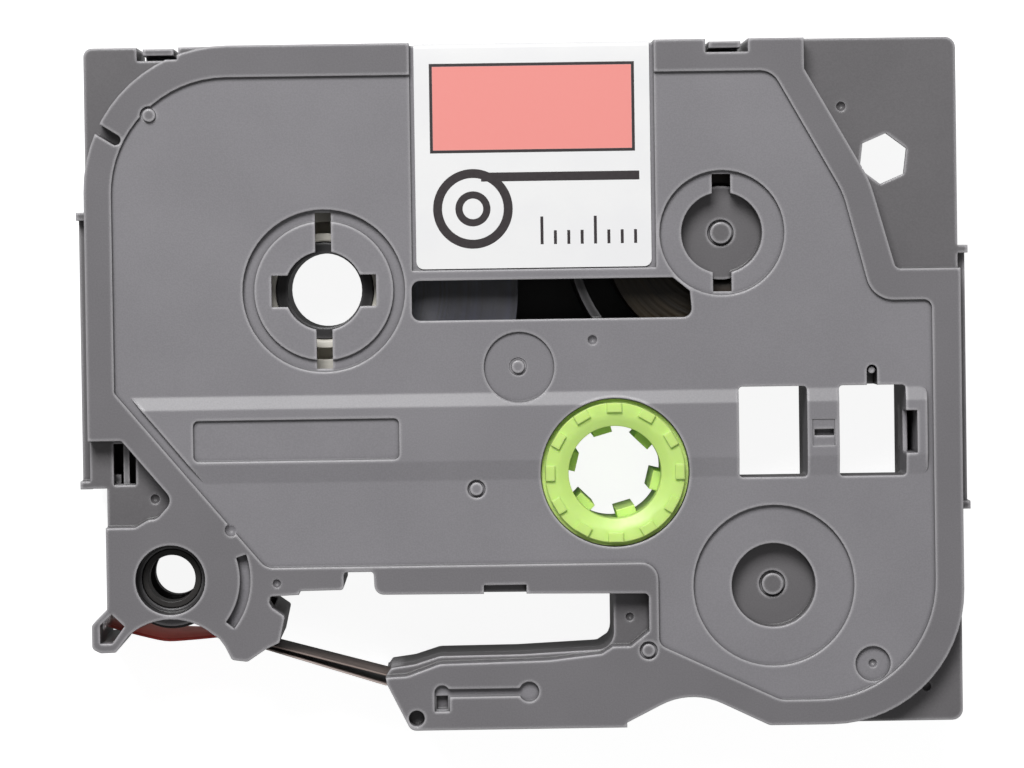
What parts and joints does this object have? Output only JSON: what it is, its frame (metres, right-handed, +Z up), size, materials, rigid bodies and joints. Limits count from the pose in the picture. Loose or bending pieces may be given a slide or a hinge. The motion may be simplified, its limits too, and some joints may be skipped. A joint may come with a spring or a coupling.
{
  "type": "label tape cassette",
  "caption": "Flat two-part cassette for a label printer: film, ink ribbon and adhesive tape run from spools through an arm past a drive roller, which laminates them into one tape.",
  "frame": {"origin": "middle of the underside's box, on the surface that the cassette lies on", "axes": "+X along the case to the end away from the tape outlet, +Y to the rear edge with the label, +Z up through the thickness"},
  "size_m": [0.0838, 0.0644, 0.017],
  "materials": {
    "case_plastic": "fine moulded grain",
    "label_paper": "smooth printed label",
    "core_plastic": "smooth moulded",
    "smoke_plastic": "smooth moulded, dark",
    "adhesive_tape": "red liner, wound dark",
    "spacer_film": "thin clear film",
    "clear_film": "thin clear film, dark where wound",
    "ink_ribbon": "ink coated film",
    "lime_plastic": "smooth moulded lime",
    "spring_steel": "drawn wire",
    "roller_plastic": "smooth moulded black",
    "laminated_tape": "clear face over a red liner"
  },
  "bodies": {
    "case": {"bottom_case": "case_plastic", "top_case": "case_plastic", "product_label": "label_paper", "takeup_clutch_spring": "spring_steel", "film_web": "clear_film", "ribbon_web": "ink_ribbon", "adhesive_web": "adhesive_tape", "laminated_tape": "laminated_tape"},
    "adhesive_spool": {"adhesive_core": "core_plastic", "adhesive_roll": "adhesive_tape", "adhesive_lower_spacer": "spacer_film", "adhesive_upper_spacer": "spacer_film"},
    "film_spool": {"film_core": "smoke_plastic", "film_roll": "clear_film"},
    "ribbon_supply_spool": {"ribbon_supply_core": "core_plastic", "ribbon_supply_roll": "ink_ribbon"},
    "takeup_spool": {"ribbon_takeup_spool": "lime_plastic", "ribbon_takeup_roll": "ink_ribbon"},
    "drive_roller": {"tape_drive_roller": "roller_plastic"},
    "guide_roller": {"film_guide_roller": "core_plastic"}
  },
  "joints": [
    {"name": "adhesive_spool_spin", "type": "hinge", "parent": "case", "child": "adhesive_spool", "pos_m": [-0.01865, 0.00915, 0.0085], "axis": [0, 0, 1], "continuous": true},
    {"name": "film_spool_spin", "type": "hinge", "parent": "case", "child": "film_spool", "pos_m": [0.01865, 0.01405, 0.0085], "axis": [0, 0, 1], "continuous": true},
    {"name": "ribbon_supply_spin", "type": "hinge", "parent": "case", "child": "ribbon_supply_spool", "pos_m": [0.0231, -0.01905, 0.0085], "axis": [0, 0, 1], "continuous": true},
    {"name": "takeup_spool_spin", "type": "hinge", "parent": "case", "child": "takeup_spool", "pos_m": [0.00835, -0.00825, 0.0085], "axis": [0, 0, 1], "continuous": true},
    {"name": "drive_roller_spin", "type": "hinge", "parent": "case", "child": "drive_roller", "pos_m": [-0.0334, -0.0177, 0.0085], "axis": [0, 0, 1], "continuous": true},
    {"name": "guide_roller_spin", "type": "hinge", "parent": "case", "child": "guide_roller", "pos_m": [0.0323, -0.02655, 0.0085], "axis": [0, 0, 1], "continuous": true}
  ],
  "couplings": [
    {"joint": "film_spool_spin", "follows": "adhesive_spool_spin", "ratio": -1.6545},
    {"joint": "ribbon_supply_spin", "follows": "adhesive_spool_spin", "ratio": -2.1928},
    {"joint": "takeup_spool_spin", "follows": "adhesive_spool_spin", "ratio": 2.2195},
    {"joint": "drive_roller_spin", "follows": "adhesive_spool_spin", "ratio": -3.7917},
    {"joint": "guide_roller_spin", "follows": "adhesive_spool_spin", "ratio": -7}
  ]
}
